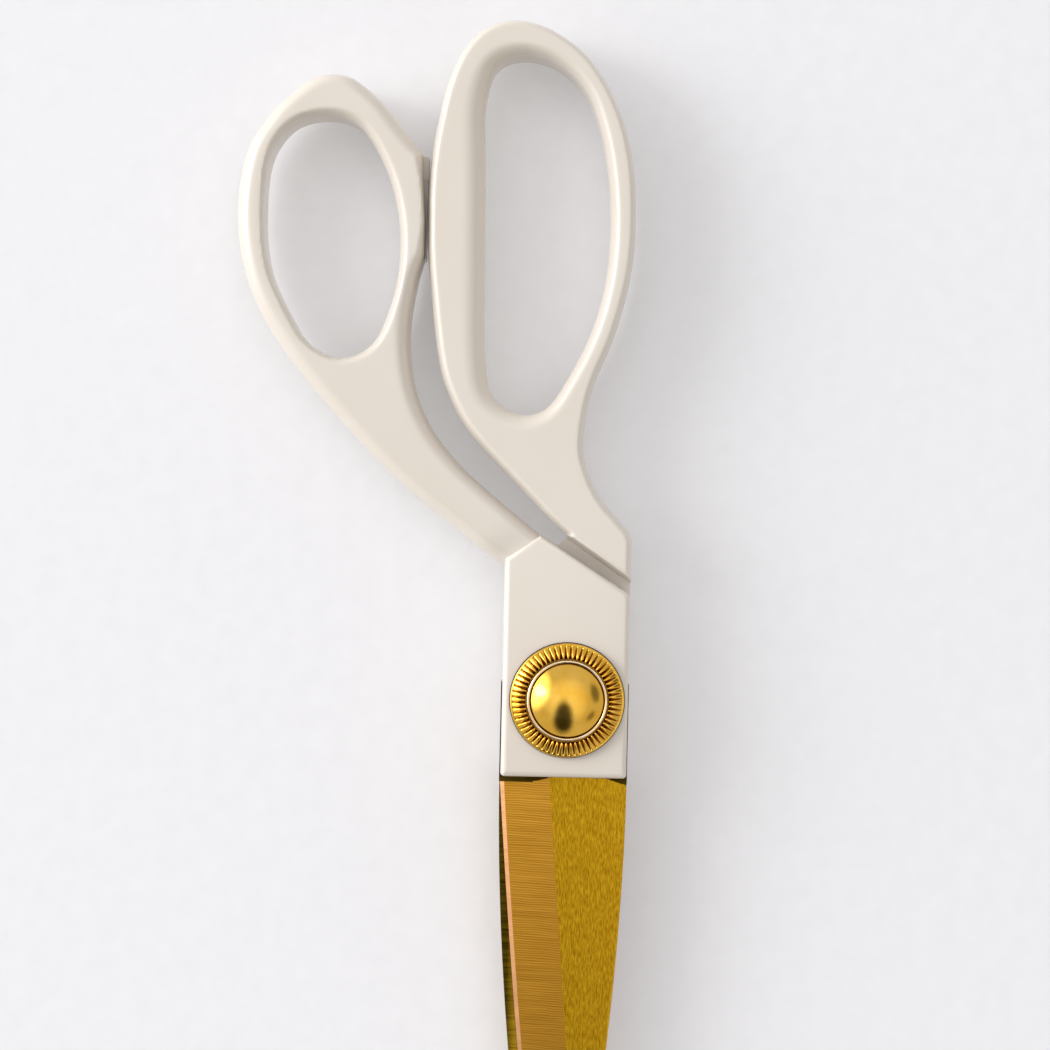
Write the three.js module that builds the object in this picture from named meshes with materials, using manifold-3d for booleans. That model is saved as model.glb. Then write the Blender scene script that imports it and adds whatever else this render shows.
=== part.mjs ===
// Bent-handle fabric shears, closed. Millimetres.
// +Z points away from the table and +Y from the pivot towards the finger loops.
// The origin is on the pivot's axis, on the plane that the shears lie on.
// Two halves turn on one bolt. Each is a steel blade whose tang is held in a painted cast handle.
// Each half is built in a frame of its own: z = 0 is its inner face, and +z points outwards.
import * as THREE from "three";
import { mergeVertices } from "three/addons/utils/BufferGeometryUtils.js";
import Module from "manifold-3d";

// ---------- driving dimensions ----------
const MATING_Z = 8.2; // where the two halves meet, above the table
const HALF_GAP = 0.15; // from the mating plane to each half's inner face
const CENTRE_X = -0.35; // middle of the blocks and blades, a little left of the pivot

const BLOCK = {
  left: -11.6, // edges of the flat block round the pivot
  right: 10.9,
  heel: -13.9,
  thickness: 6.05,
  bevel: 1.1,
  crownCorner: 1.2, // how far the rounding of the crown's first corner reaches
};
const LOOP = {
  depth: 12.2, // right through, centred on the mating plane
  roundAcross: 1.6, // how far the rounding of an edge reaches in
  roundDeep: 3.6, // and how far it reaches down
};
const STEP_RADIUS = 23.4; // full-depth shank starts this far from the pivot, clear of the other block
const STEP_ANGLE = { thumb: 131.7, finger: 123.8 }; // degrees, of the step wall's normal

const BLADE = {
  length: 106, // from the heel to the tip
  heelY: -15,
  heelWidthLeft: -11.6,
  heelWidthRight: 11,
  tipX: -0.4,
  heelThickness: 3.7,
  tipThickness: 1.6,
  edgeThickness: 0.75, // where the wide ground facet ends at the micro-bevel
  edgeLand: 0.18, // the edge itself
  microBevel: 0.73,
  hollow: 0.22, // depth of the hollow grinding on the inner face
  facetHeelX: -2.65, // where the ground facet meets the flat, at the heel
  facetSlope: 0.0833, // how fast that line moves towards the spine
  spineCurve: 1.85, // how late the spine bends towards the tip
  edgeCurve: 0.294, // share of the cutting edge's run that is curved
  spineChamfer: 0.35,
  modelledShare: 0.985, // the last of the point is left blunt
  stations: 22,
};
// The blade's full-width root under the block, and the narrower tang above it.
const PLATE = { thickness: 2.6, topY: 2.8, footY: -15, proud: 0.15 };
const TANG = {
  left: -7.8,
  right: 7.1,
  topY: 18,
  corner: 2,
  holeX: 4.4,
  holeY: 13.6,
  holeRadius: 2,
};
const POCKET_CLEARANCE = 0.12;
// The shadow gap between the block and the blade, cut down to the root plate at both sides.
const HEEL_GAP = {
  facetRunX: -7.6, // on the edge side it is straight to here
  facetEndX: -2.6, // and curves up to nothing here
  spineStartX: 7.2, // on the spine side it opens from here
  spineY: -14.9,
  cornerY: -15.8, // the spine's corner is rounded to here
  cornerRound: 0.9,
};

const BOLT = {
  radius: 4, // plain shoulder that the thumb half turns on
  flat: 3.2, // half the width across the two flats, which key into the finger half
  threadRadius: 3,
  shoulderZ: 3.25,
  flangeRadius: 7.15,
  flangeZ: 15.65,
  rimZ: 16.6,
  domeRadius: 6.4,
  domeTopZ: 18.9,
};
const RUNNING_CLEARANCE = 0.05;
const BORE_RADIUS = BOLT.radius + RUNNING_CLEARANCE;
const THREAD_BORE_RADIUS = BOLT.threadRadius + RUNNING_CLEARANCE;
const COUNTERBORE = { radius: 7.3, depth: 1.15 };
const FLUTED = {
  radius: 10.1,
  flutes: 60,
  fluteDepth: 0.22,
  bottomZ: 14.9,
  rimHeight: 0.85, // of the thin outer rim
  rimWidth: 0.55,
  middleHeight: 1.2, // halfway up the dish
  innerHeight: 1.75, // of the inner lip
  lipWidth: 0.3,
  floorZ: 15.58, // of the recess that the bolt's flange sits in
  recessRadius: 7.4,
};
const HEAD_WASHER = { radius: 10.25, bottomZ: 14.45, thickness: 0.4 };
const REAR_WASHER = { radius: 6.9, bottomZ: 2.62, thickness: 0.52 };
const SPRING = { inner: 3.15, outer: 6.2, bottomZ: 2.0, thickness: 0.4, rise: 0.18 };
const NUT = { radius: 6.4, thickness: 1.95, chamfer: 0.35, slotWidth: 2, slotDepth: 1.5 };

const EDGE_BREAK = 0.25; // on the turned pieces
const ROUND_SEGMENTS = 72;
const RING_DIVISIONS = 6; // points on each stretch of a smooth ring
const FAR = 80; // reach of a cutting block, larger than the part

// ---------- materials ----------
const cream = new THREE.MeshStandardMaterial({ color: 0xe3d9cf, roughness: 0.42, metalness: 0 });
const goldBlade = new THREE.MeshStandardMaterial({ color: 0xb0841c, roughness: 0.38, metalness: 1 });
const goldPolished = new THREE.MeshStandardMaterial({ color: 0xd8a441, roughness: 0.12, metalness: 1 });
const blackNylon = new THREE.MeshStandardMaterial({ color: 0x161514, roughness: 0.55, metalness: 0 });
const springSteel = new THREE.MeshStandardMaterial({ color: 0x8d8f92, roughness: 0.3, metalness: 1 });

// ---------- solids ----------
const wasm = await Module();
wasm.setup();

const MERGE = 1e-4;

function solid(geometry) {
  const bare = geometry.clone();
  bare.deleteAttribute("normal");
  bare.deleteAttribute("uv");
  const merged = mergeVertices(bare, MERGE);
  return new wasm.Manifold(
    new wasm.Mesh({
      numProp: 3,
      vertProperties: new Float32Array(merged.attributes.position.array),
      triVerts: new Uint32Array(merged.index.array),
    }),
  );
}

function geometryOf(body) {
  const mesh = body.getMesh();
  const geometry = new THREE.BufferGeometry();
  geometry.setAttribute("position", new THREE.BufferAttribute(mesh.vertProperties, 3));
  geometry.setIndex(new THREE.BufferAttribute(mesh.triVerts, 1));
  geometry.computeVertexNormals();
  return geometry;
}

function box(x0, x1, y0, y1, z0, z1) {
  const geometry = new THREE.BoxGeometry(x1 - x0, y1 - y0, z1 - z0);
  return geometry.translate((x0 + x1) / 2, (y0 + y1) / 2, (z0 + z1) / 2);
}

function rod(radius, z0, z1, x = 0, y = 0) {
  const geometry = new THREE.CylinderGeometry(radius, radius, z1 - z0, ROUND_SEGMENTS);
  return geometry.rotateX(Math.PI / 2).translate(x, y, (z0 + z1) / 2);
}

// A turned piece from its half section, given as [radius, z] points.
function turned(profile, segments = ROUND_SEGMENTS) {
  const points = profile.map(([r, z]) => new THREE.Vector2(r, z));
  return new THREE.LatheGeometry(points, segments).rotateX(Math.PI / 2);
}

// A flat ring with square edges.
function washer(inner, outer, z0, thickness) {
  const z1 = z0 + thickness;
  return turned([[inner, z0], [outer, z0], [outer, z1], [inner, z1], [inner, z0]]);
}

const vectors = (points) => points.map(([x, y]) => new THREE.Vector2(x, y));

// The finger half's own frame is turned about Y, so what is seen from the front is mirrored in it.
const turnedOver = (points) => points.map(([x, y]) => [2 * CENTRE_X - x, y]);

function extruded(shape, z0, z1) {
  const settings = { depth: z1 - z0, bevelEnabled: false, curveSegments: RING_DIVISIONS };
  const geometry = new THREE.ExtrudeGeometry(shape, settings);
  return geometry.translate(0, 0, z0);
}

// ---------- blades ----------
const alongBlade = (share) => BLADE.heelY - share * BLADE.length;
const spineX = (share) =>
  BLADE.heelWidthRight - (BLADE.heelWidthRight - BLADE.tipX) * Math.max(share, 0) ** BLADE.spineCurve;

function edgeX(share) {
  const run = (1 - BLADE.edgeCurve) * share + BLADE.edgeCurve * share ** 2;
  return THREE.MathUtils.lerp(BLADE.heelWidthLeft, BLADE.tipX, run);
}

// Section across the blade, from the cutting edge over the outer face to the spine and back inside.
function bladeSection(share) {
  const edge = edgeX(share);
  const spine = spineX(share);
  const width = spine - edge;
  const thickness = THREE.MathUtils.lerp(BLADE.heelThickness, BLADE.tipThickness, share);
  const bevel = Math.min(BLADE.microBevel, width / 4);
  const chamfer = Math.min(BLADE.spineChamfer, width / 6);
  const facet = Math.min(
    BLADE.facetHeelX + BLADE.facetSlope * share * BLADE.length,
    spine - chamfer - 0.08 * width,
  );
  const hollow = BLADE.hollow * Math.min(1, width / 12);
  const y = alongBlade(share);
  return [
    [edge, 0],
    [edge, BLADE.edgeLand],
    [edge + bevel, BLADE.edgeThickness],
    [facet, thickness],
    [spine - chamfer, thickness],
    [spine, thickness - chamfer],
    [spine, 0],
    [spine - 0.12 * width, 0],
    [THREE.MathUtils.lerp(edge, spine, 0.5), hollow],
    [edge + 0.1 * width, 0],
  ].map(([x, z]) => new THREE.Vector3(x, y, z));
}

// Skins a row of sections that have the same number of points, and closes both ends.
function lofted(sections) {
  const count = sections[0].length;
  const positions = sections.flat().flatMap((p) => [p.x, p.y, p.z]);
  const faces = [];
  for (let i = 0; i < sections.length - 1; i++) {
    for (let j = 0; j < count; j++) {
      const a = i * count + j;
      const b = i * count + ((j + 1) % count);
      faces.push(a, b + count, b, a, a + count, b + count);
    }
  }
  const last = (sections.length - 1) * count;
  const flat = sections[0].map((p) => new THREE.Vector2(p.x, p.z));
  for (const [a, b, c] of THREE.ShapeUtils.triangulateShape(flat, [])) {
    faces.push(a, c, b, last + a, last + b, last + c);
  }
  const geometry = new THREE.BufferGeometry();
  geometry.setAttribute("position", new THREE.Float32BufferAttribute(positions, 3));
  geometry.setIndex(faces);
  return geometry;
}

// Plan of the full-width root and the narrower tang above it, grown by a clearance for the pocket.
function rootShape(grow) {
  const left = BLOCK.left - PLATE.proud - grow;
  const right = BLOCK.right + PLATE.proud + grow;
  const shoulder = PLATE.topY + grow;
  const top = TANG.topY + grow;
  const tangLeft = TANG.left - grow;
  const tangRight = TANG.right + grow;
  const { corner } = TANG;
  const shape = new THREE.Shape();
  shape.moveTo(left, PLATE.footY);
  shape.lineTo(right, PLATE.footY);
  shape.lineTo(right, shoulder);
  shape.lineTo(tangRight, shoulder);
  shape.lineTo(tangRight, top - corner);
  shape.quadraticCurveTo(tangRight, top, tangRight - corner, top);
  shape.lineTo(tangLeft + corner, top);
  shape.quadraticCurveTo(tangLeft, top, tangLeft, top - corner);
  shape.lineTo(tangLeft, shoulder);
  shape.lineTo(left, shoulder);
  shape.closePath();
  return shape;
}

// What is cut away for the shadow gap: the facet runs out in a curve on the edge side,
// and the corner is rounded on the spine side.
function heelGap() {
  const { facetRunX, facetEndX, spineStartX, spineY, cornerY, cornerRound } = HEEL_GAP;
  const top = BLOCK.heel + 1;
  const start = BLOCK.heel - 0.05;
  const edgeSide = new THREE.Shape();
  edgeSide.moveTo(BLOCK.left - 1, top);
  edgeSide.lineTo(BLOCK.left - 1, PLATE.footY);
  edgeSide.lineTo(facetRunX, PLATE.footY);
  edgeSide.quadraticCurveTo((facetRunX + facetEndX) / 2, PLATE.footY, facetEndX, start);
  edgeSide.lineTo(facetEndX, top);
  const spineSide = new THREE.Shape();
  spineSide.moveTo(BLOCK.right + 1, top);
  spineSide.lineTo(spineStartX, top);
  spineSide.lineTo(spineStartX, start);
  spineSide.lineTo(BLADE.heelWidthRight - cornerRound, spineY);
  spineSide.quadraticCurveTo(BLADE.heelWidthRight, spineY, BLADE.heelWidthRight, cornerY);
  spineSide.lineTo(BLOCK.right + 1, cornerY);
  const aboveBlade = BLADE.heelThickness + 1;
  return [edgeSide, spineSide].map((shape) => solid(extruded(shape, PLATE.thickness, aboveBlade)));
}

const tangHoles = [-1, 1].map((side) => [CENTRE_X + side * TANG.holeX, TANG.holeY]);

function blade(bore) {
  const { stations, modelledShare } = BLADE;
  const sections = [];
  const bodyStart = (BLADE.heelY - BLOCK.heel + 0.05) / BLADE.length;
  for (let i = 0; i <= stations; i++) {
    sections.push(bladeSection(THREE.MathUtils.lerp(bodyStart, modelledShare, i / stations)));
  }
  let body = solid(lofted(sections)).add(solid(extruded(rootShape(0), 0, PLATE.thickness)));
  for (const gap of heelGap()) body = body.subtract(gap);
  for (const [x, y] of tangHoles) {
    body = body.subtract(solid(rod(TANG.holeRadius, -1, PLATE.thickness + 1, x, y)));
  }
  return geometryOf(body.subtract(bore));
}

// ---------- handles ----------
// A closed outline made of smooth stretches: corners are where one stretch ends and the next starts.
function outline(stretches) {
  const shape = new THREE.Shape();
  shape.moveTo(...stretches[0][0]);
  for (const [start, ...rest] of stretches) {
    if (!shape.currentPoint.equals(new THREE.Vector2(...start))) shape.lineTo(...start);
    if (rest.length === 1) shape.lineTo(...rest[0]);
    else shape.splineThru(vectors(rest));
  }
  return shape;
}

// A smooth closed ring through the points.
function ring(points) {
  const flat = points.map(([x, y]) => new THREE.Vector3(x, y, 0));
  const curve = new THREE.CatmullRomCurve3(flat, true, "centripetal");
  const smooth = curve.getPoints(RING_DIVISIONS * points.length).slice(0, -1);
  return new THREE.Path(smooth.map(({ x, y }) => new THREE.Vector2(x, y)));
}

// A loop and its shank: full depth, with every edge rounded over.
function loopAndShank(stretches, hole) {
  const shape = outline(stretches);
  shape.holes.push(ring(hole));
  const geometry = new THREE.ExtrudeGeometry(shape, {
    depth: LOOP.depth - 2 * LOOP.roundDeep,
    bevelThickness: LOOP.roundDeep,
    bevelSize: LOOP.roundAcross,
    bevelOffset: -LOOP.roundAcross,
    bevelSegments: 3,
    curveSegments: RING_DIVISIONS,
  });
  const bottom = -HALF_GAP - LOOP.depth / 2;
  return solid(geometry.translate(0, 0, bottom + LOOP.roundDeep));
}

// The flat block round the pivot, with its outer edges bevelled and its inner face plain.
function block(crown) {
  const [corner, next] = vectors(crown);
  const afterCorner = next.clone().sub(corner).setLength(BLOCK.crownCorner).add(corner);
  const shape = new THREE.Shape();
  shape.moveTo(BLOCK.left, BLOCK.heel);
  shape.lineTo(BLOCK.right, BLOCK.heel);
  shape.lineTo(corner.x, corner.y - BLOCK.crownCorner);
  shape.quadraticCurveTo(corner.x, corner.y, afterCorner.x, afterCorner.y);
  crown.slice(1).forEach(([x, y]) => shape.lineTo(x, y));
  shape.closePath();
  const geometry = new THREE.ExtrudeGeometry(shape, {
    depth: BLOCK.thickness,
    bevelThickness: BLOCK.bevel,
    bevelSize: BLOCK.bevel,
    bevelOffset: -BLOCK.bevel,
    bevelSegments: 3,
    curveSegments: 3,
  });
  const below = solid(box(-FAR, FAR, -FAR, FAR, -FAR, 0));
  return solid(geometry.translate(0, 0, -BLOCK.bevel)).subtract(below);
}

// What is taken off a full-depth shank, on the far side of its inner face, for the other half to sweep.
function sweepRoom(pivotX, angle) {
  const room = box(-FAR, FAR, STEP_RADIUS - FAR, STEP_RADIUS, -FAR, 0);
  room.rotateZ(THREE.MathUtils.degToRad(angle - 90));
  return solid(room.translate(pivotX, 0, 0));
}

function handle(loop, blockBody, pivotX, stepAngle, bore) {
  const pocket = extruded(rootShape(POCKET_CLEARANCE), -1, PLATE.thickness + POCKET_CLEARANCE);
  let body = loop.subtract(sweepRoom(pivotX, stepAngle)).add(blockBody).subtract(solid(pocket));
  for (const [x, y] of tangHoles) {
    const boss = rod(TANG.holeRadius - POCKET_CLEARANCE, 0, PLATE.thickness + 1, x, y);
    body = body.add(solid(boss));
  }
  return body.subtract(bore);
}

// Thumb handle, as seen from the front: outer side up from the block, over the top, and down to the stop.
const THUMB_OUTER = [
  [-11.6, 23.4], [-15.6, 26], [-20.6, 29.9], [-30.6, 37.8], [-40.7, 47.8], [-51.2, 60],
  [-58, 71.5], [-60.6, 84], [-59.3, 95.8], [-55, 103.2], [-50, 108], [-46.5, 110], [-43.4, 110.4],
  [-40.3, 109.6], [-36.3, 106.6], [-33.2, 103.3], [-27.7, 96.3],
];
const THUMB_STOP_TOP = [[-27.7, 96.3], [-27.5, 91.9]];
const THUMB_STOP_LAND = [[-27.5, 91.9], [-27, 84.5]];
const THUMB_INNER = [
  [-27, 78.4], [-28.5, 72.4], [-29.4, 64], [-28.3, 55.2], [-25.2, 47.9], [-20.1, 41.5],
  [-12.6, 34.9], [-5.3, 29.1],
];
const THUMB_IN_BLOCK = [[2, 18], [-11.6, 12]];
const THUMB_HOLE = [
  [-44.4, 102.8], [-50.6, 101.4], [-54.6, 96.3], [-55.8, 86.1], [-54.7, 75.9], [-51.2, 68.1],
  [-47.2, 62.3], [-41.8, 59.9], [-36.4, 62.2], [-32.9, 69.8], [-31.6, 77.4], [-32, 85.6],
  [-34.5, 93.9], [-39.2, 101.1],
];
// The stop: a lug below the rounding that meets the finger loop, in two levels.
const STOP_LUG = {
  low: { from: 77.9, to: 92, x: -26.84 },
  high: { from: 92, to: 96.2, x: -26.76 },
  inner: -29.2,
  below: -3.4,
  above: 1.6,
  step: 0.6,
};

function stopLug() {
  const { low, high, inner, below, above, step } = STOP_LUG;
  const lowLug = box(inner, low.x, low.from, low.to, below, above - step);
  const highLug = box(inner, high.x, high.from, high.to, below, above);
  return solid(lowLug).add(solid(highLug));
}

function thumbHandle(bore) {
  const stretches = [THUMB_OUTER, THUMB_STOP_TOP, THUMB_STOP_LAND, THUMB_INNER, THUMB_IN_BLOCK];
  const loop = loopAndShank(stretches, THUMB_HOLE);
  const crown = [[BLOCK.right, 18.9], [-5.3, 29.15], [BLOCK.left, 24.9]];
  const body = handle(loop, block(crown), 0, STEP_ANGLE.thumb, bore);
  return geometryOf(body.add(stopLug()));
}

// Finger handle, as seen from the front: right side up from the step, over the top and down the left side.
const FINGER_SIDE = [[10.95, 14], [11.1, 28]];
const FINGER_RIGHT = [
  [10.6, 29.6], [8.7, 31.9], [5.2, 36], [2.9, 40.8], [2, 46.1], [3.4, 54.9], [7.2, 64.9], [9.8, 75.4],
  [10.5, 85.5], [9.7, 96.1], [6.9, 105.6], [2, 113.6], [-4.2, 118.5], [-10.5, 120.6], [-16.1, 119.7],
  [-20.5, 115.9], [-23.5, 109.7], [-25.5, 101], [-26.6, 92.5], [-26.7, 83.4], [-26.2, 74.9],
  [-24.3, 60.3], [-22.2, 53.5], [-18.7, 47.4], [-12.3, 40.5], [-5, 33.1], [-0.6, 29.1],
];
const FINGER_IN_BLOCK = [[-1.6, 24], [0, 16]];
const FINGER_HOLE = [
  [-4.5, 113.1], [0.8, 108.5], [4, 100.5], [5.8, 89], [5.5, 76.4], [3.2, 66.4], [-1, 57.3], [-5, 51.6],
  [-8.5, 50.5], [-12, 51.6], [-14.7, 54.4], [-15.9, 61.5], [-16.2, 76.7], [-16.5, 93], [-16.6, 106.6],
  [-14.7, 112.4], [-10.3, 114.3],
];

function fingerHandle(bore, counterbore) {
  const stretches = [FINGER_SIDE, FINGER_RIGHT, FINGER_IN_BLOCK].map(turnedOver);
  const loop = loopAndShank(stretches, turnedOver(FINGER_HOLE));
  const crown = [[BLOCK.right, 18.8], [-0.3, 28.8], [-5.7, 29], [BLOCK.left, 25]];
  const body = handle(loop, block(crown), 2 * CENTRE_X, STEP_ANGLE.finger, bore);
  return geometryOf(body.subtract(counterbore));
}

// ---------- pivot ----------
const thumbBore = solid(rod(BORE_RADIUS, -FAR, FAR));

// The finger half is keyed to the bolt, so its bore has two flats.
function fingerBore() {
  const round = solid(rod(BORE_RADIUS, -FAR, FAR, 2 * CENTRE_X));
  const half = BOLT.flat + RUNNING_CLEARANCE;
  return round.intersect(solid(box(-FAR, FAR, -half, half, -FAR, FAR)));
}

// Half section of the bolt's domed head, part of a sphere, from its rim to the middle.
function dome() {
  const { domeRadius, rimZ, domeTopZ } = BOLT;
  const rise = domeTopZ - rimZ;
  const sphere = (domeRadius ** 2 + rise ** 2) / (2 * rise);
  const steps = 7;
  const points = [];
  for (let i = 0; i < steps; i++) {
    const r = domeRadius * Math.cos((i / steps) * (Math.PI / 2));
    points.push([r, domeTopZ - sphere + Math.sqrt(sphere ** 2 - r ** 2)]);
  }
  return [...points, [0, domeTopZ]];
}

function pivotBolt() {
  const { threadRadius, shoulderZ, radius, flat, flangeZ, flangeRadius, rimZ, domeRadius } = BOLT;
  const profile = [
    [0, 0],
    [threadRadius - EDGE_BREAK, 0],
    [threadRadius, EDGE_BREAK],
    [threadRadius, shoulderZ],
    [radius, shoulderZ],
    [radius, flangeZ],
    [flangeRadius, flangeZ],
    [flangeRadius, rimZ - EDGE_BREAK],
    [flangeRadius - EDGE_BREAK, rimZ],
    [domeRadius + EDGE_BREAK, rimZ],
    ...dome(),
  ];
  const keyTop = MATING_Z - HALF_GAP;
  const keyBottom = shoulderZ - 0.5;
  let body = solid(turned(profile));
  for (const [y0, y1] of [[-FAR, -flat], [flat, FAR]]) {
    body = body.subtract(solid(box(-FAR, FAR, y0, y1, keyBottom, keyTop)));
  }
  return geometryOf(body);
}

// Half section of the fluted washer: a dished collar with a recess for the bolt's flange.
function collar() {
  const { radius, recessRadius, bottomZ, floorZ, rimHeight, rimWidth, lipWidth } = FLUTED;
  return [
    [BORE_RADIUS, bottomZ],
    [radius - EDGE_BREAK, bottomZ],
    [radius, bottomZ + EDGE_BREAK],
    [radius - EDGE_BREAK / 2, bottomZ + rimHeight],
    [radius - rimWidth, bottomZ + rimHeight],
    [(radius + recessRadius) / 2, bottomZ + FLUTED.middleHeight],
    [recessRadius + lipWidth, bottomZ + FLUTED.innerHeight],
    [recessRadius, bottomZ + FLUTED.innerHeight],
    [recessRadius, floorZ],
    [BORE_RADIUS, floorZ],
    [BORE_RADIUS, bottomZ],
  ];
}

// The collar's top is pressed into fine radial flutes.
function flutedWasher() {
  const { radius, flutes, floorZ, fluteDepth, lipWidth } = FLUTED;
  const geometry = turned(collar(), 2 * flutes);
  const position = geometry.attributes.position;
  for (let i = 0; i < position.count; i++) {
    const across = Math.hypot(position.getX(i), position.getY(i));
    const onTop = position.getZ(i) > floorZ + 0.05 && across < radius - lipWidth;
    const turns = Math.atan2(position.getY(i), position.getX(i)) / (2 * Math.PI);
    const inFlute = Math.round(turns * 2 * flutes) % 2 !== 0;
    if (onTop && inFlute) position.setZ(i, position.getZ(i) - fluteDepth);
  }
  return geometry;
}

function springWasher() {
  const { inner, outer, bottomZ, thickness, rise } = SPRING;
  return turned([
    [inner, bottomZ + rise],
    [outer, bottomZ],
    [outer, bottomZ + thickness],
    [inner, bottomZ + thickness + rise],
    [inner, bottomZ + rise],
  ]);
}

function tensionNut() {
  const { radius, thickness, chamfer, slotWidth, slotDepth } = NUT;
  const profile = [
    [THREAD_BORE_RADIUS, 0],
    [radius - chamfer, 0],
    [radius, chamfer],
    [radius, thickness],
    [THREAD_BORE_RADIUS, thickness],
    [THREAD_BORE_RADIUS, 0],
  ];
  const slotEnd = radius - slotDepth;
  let body = solid(turned(profile));
  for (const [x0, x1] of [[-FAR, -slotEnd], [slotEnd, FAR]]) {
    body = body.subtract(solid(box(x0, x1, -slotWidth / 2, slotWidth / 2, -1, thickness / 2)));
  }
  return geometryOf(body);
}

// ---------- assembly ----------
function piece(name, geometry, material) {
  const mesh = new THREE.Mesh(geometry, material);
  mesh.name = name;
  return mesh;
}

const thumbHalf = new THREE.Group();
thumbHalf.position.z = MATING_Z + HALF_GAP;
thumbHalf.add(
  piece("thumb_blade", blade(thumbBore), goldBlade),
  piece("thumb_handle", thumbHandle(thumbBore), cream),
);

const counterboreFloor = BLOCK.thickness - COUNTERBORE.depth;
const counterbore = solid(rod(COUNTERBORE.radius, counterboreFloor, FAR, 2 * CENTRE_X));
const fingerHalf = new THREE.Group();
fingerHalf.position.set(2 * CENTRE_X, 0, MATING_Z - HALF_GAP);
fingerHalf.rotation.y = Math.PI;
fingerHalf.add(
  piece("finger_blade", blade(fingerBore()), goldBlade),
  piece("finger_handle", fingerHandle(fingerBore(), counterbore), cream),
);

const headWasher = washer(
  BORE_RADIUS,
  HEAD_WASHER.radius,
  HEAD_WASHER.bottomZ,
  HEAD_WASHER.thickness,
);
const rearWasher = washer(
  THREAD_BORE_RADIUS,
  REAR_WASHER.radius,
  REAR_WASHER.bottomZ,
  REAR_WASHER.thickness,
);
const pivot = new THREE.Group();
pivot.add(
  piece("pivot_bolt", pivotBolt(), goldPolished),
  piece("fluted_washer", flutedWasher(), goldPolished),
  piece("head_thrust_washer", headWasher, blackNylon),
  piece("rear_thrust_washer", rearWasher, blackNylon),
  piece("spring_washer", springWasher(), springSteel),
  piece("tension_nut", tensionNut(), goldPolished),
);

const shears = new THREE.Group();
shears.add(thumbHalf, fingerHalf, pivot);

export default shears;
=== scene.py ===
"""Looks for the bent-handle fabric shears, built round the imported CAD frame.

Shapes are worked out in millimetres, in the frame of the half or the pivot they belong to, and placed in
metres. A half's own frame has its inner face at z = 0 and +z outwards, with the pivot at its origin.
"""

import math

import bmesh
import bpy
import numpy as np
from mathutils import Matrix, Vector
from mathutils.kdtree import KDTree


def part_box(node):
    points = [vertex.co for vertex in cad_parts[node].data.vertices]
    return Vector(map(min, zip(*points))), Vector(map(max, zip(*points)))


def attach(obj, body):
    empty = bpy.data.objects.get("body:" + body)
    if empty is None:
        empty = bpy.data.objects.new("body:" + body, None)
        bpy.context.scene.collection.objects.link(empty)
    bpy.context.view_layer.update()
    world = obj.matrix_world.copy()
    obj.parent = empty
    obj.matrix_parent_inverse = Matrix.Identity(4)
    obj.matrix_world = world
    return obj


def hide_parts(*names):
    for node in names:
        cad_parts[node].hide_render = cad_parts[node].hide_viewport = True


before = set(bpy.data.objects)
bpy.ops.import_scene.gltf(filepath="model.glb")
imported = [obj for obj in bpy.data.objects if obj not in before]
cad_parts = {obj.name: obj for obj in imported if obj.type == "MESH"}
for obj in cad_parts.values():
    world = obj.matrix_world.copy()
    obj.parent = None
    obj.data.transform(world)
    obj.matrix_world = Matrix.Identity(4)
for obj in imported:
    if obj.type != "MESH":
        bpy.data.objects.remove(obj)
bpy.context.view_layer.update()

# ---------- driving dimensions, in millimetres ----------
MM = 0.001
FAR = 200.0
MARGIN = 1.0  # how far a cutting tool runs past what it cuts

SECTION_Z = 2.8  # just above the pockets, where a half is cut to find its outline
COUNTERBORE_Z = 5.6  # where the rear half is cut to find its counterbore
COUNTERBORE_FLOOR_Z = 4.9
WALL_Z = -1.0  # below the inner face, where only the full-depth shank is left
LOOP_HALF_DEPTH = 6.1
LOOP_MIDDLE = -0.15  # the loops are centred between the halves
LOOP_ROUND_DEEP = 3.6  # the roundings' height, the same all the way round
LAND_FACES = 0.97  # the land that faces the other handle points this squarely at it
# How wide the loops' roundings are, and how much wider where the edge faces a certain way.
THUMB_OUTER_REACH = {"all": 2.0, "sideways": 0.8, "land": 0.7}
THUMB_HOLE_REACH = {"all": 1.15, "right": -0.5, "up": 0.1}
FINGER_OUTER_REACH = {"all": 1.35, "right": 0.1}
FINGER_HOLE_REACH = {"all": 2.9, "right": -1.1, "down": 1.1}
VOXEL = 0.4
RING_SPACING = 0.4
REACH_BLEND = 20  # a rounding's width changes over this many points of a ring, either way
SETTLING_STEPS = 5
FLATTEST_SLOPE = 1e-3  # keeps a settling step short where the body is flat
EVENING_STEPS = 3
EVENING_PULL = 0.6
SHARP_TURN = math.radians(30)  # an outline's corners sharper than this stay corners
STRAIGHT_TURN = math.radians(0.5)  # and its points that turn less than this are left out
STRAIGHT_LENGTH = 5.0  # its sides longer than this stay straight
SHORTEST_SIDE = 0.02
ON_RIM = 0.02  # nearer to a rim than this, its side tells the direction into the material
WELD = 0.002
AXIS_WELD = 1e-4
TINY = 1e-9

BLOCK_BEVEL = 1.1
BEVEL_STEPS = 6
CORNER_STEPS = 6
BLOCK_PROUD = 0.02  # keeps the block's sides off the shank's
HEEL_ROUND = 0.7  # radius of the block's two heel corners
SMALLEST_ROUND = 0.15
NECK_DIP = 0.55  # the shank's outer face sinks by this much where it meets the block
NECK_REACH = 3.2
TANG_CLEAR_Y = 12.0  # the shank's edges are rounded above this, clear of the tang

STEP_LEAN = 0.6  # the step wall leans back by this much, from the inner face outwards
STEP_ROUND_ACROSS = 0.6
STEP_ROUND_DEEP = 1.2
STEP_ROUND_STEPS = 8

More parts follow.
